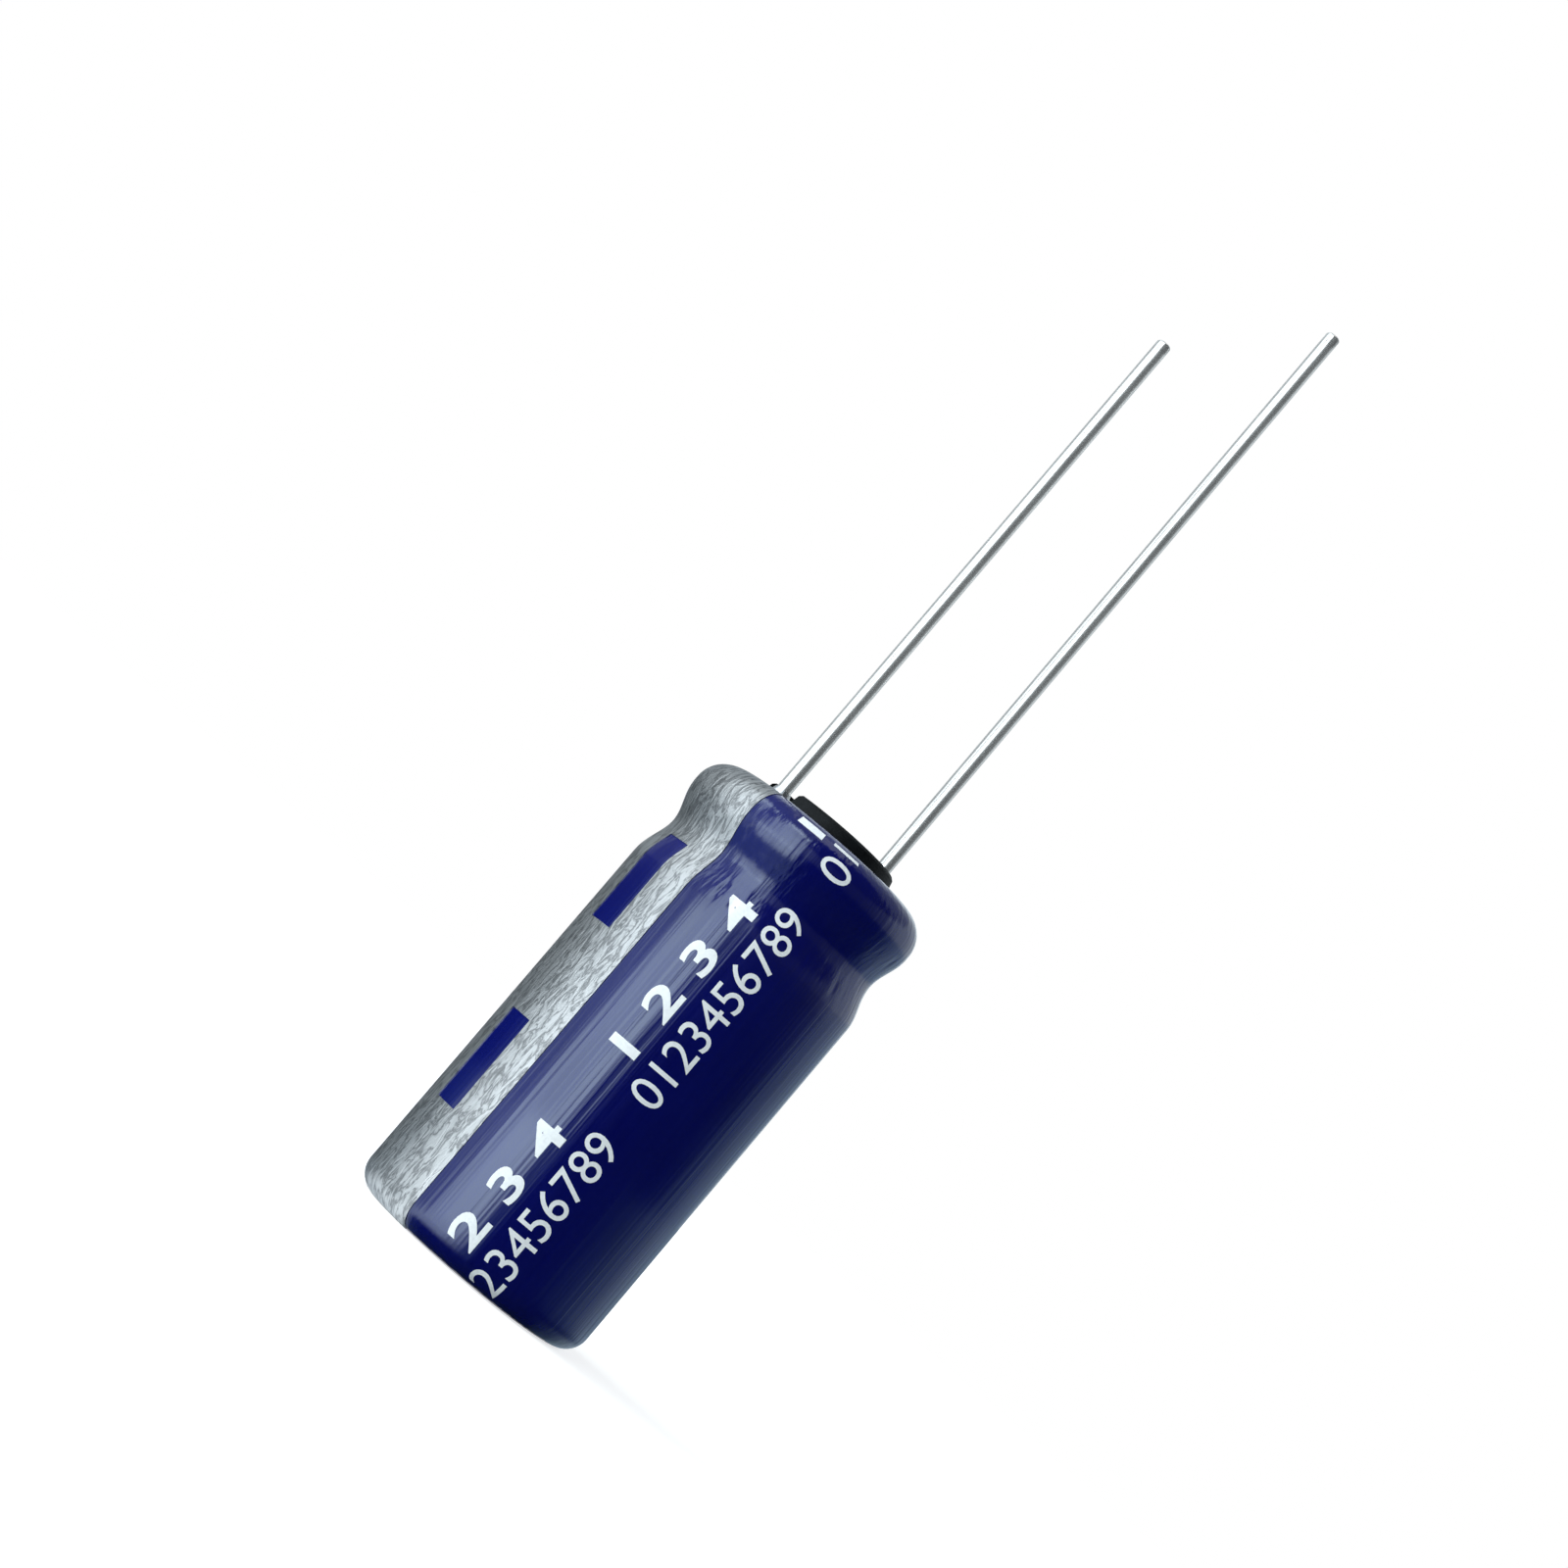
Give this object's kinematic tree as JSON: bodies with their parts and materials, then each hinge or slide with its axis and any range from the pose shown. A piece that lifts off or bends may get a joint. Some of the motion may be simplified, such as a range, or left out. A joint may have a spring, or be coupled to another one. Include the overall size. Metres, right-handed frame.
{
  "type": "supercapacitor",
  "caption": "Radial supercapacitor: a beaded can in a blue shrink sleeve with a silver polarity stripe, closed by a rubber bung with long wire leads for soldering.",
  "frame": {"origin": "middle of the face that the closed end stands on, on the can's axis", "axes": "+Z along the can's axis towards the leads, +X towards the positive lead"},
  "size_m": [0.0102, 0.0102, 0.0476],
  "materials": {
    "sleeve_film": "glossy blue shrink film",
    "silver_ink": "silver ink, finely crinkled",
    "can_metal": "bare drawn aluminium",
    "bung_rubber": "black moulded rubber",
    "lug_metal": "bare aluminium",
    "tinned_wire": "bright tin plate",
    "roll_paper": "wound foil and paper"
  },
  "bodies": {
    "root": {"sleeve": "sleeve_film", "negative_stripe": "silver_ink", "can": "can_metal", "bung": "bung_rubber", "positive_lug": "lug_metal", "negative_lug": "lug_metal", "positive_lead": "tinned_wire", "negative_lead": "tinned_wire", "wound_element": "roll_paper"}
  },
  "joints": []
}
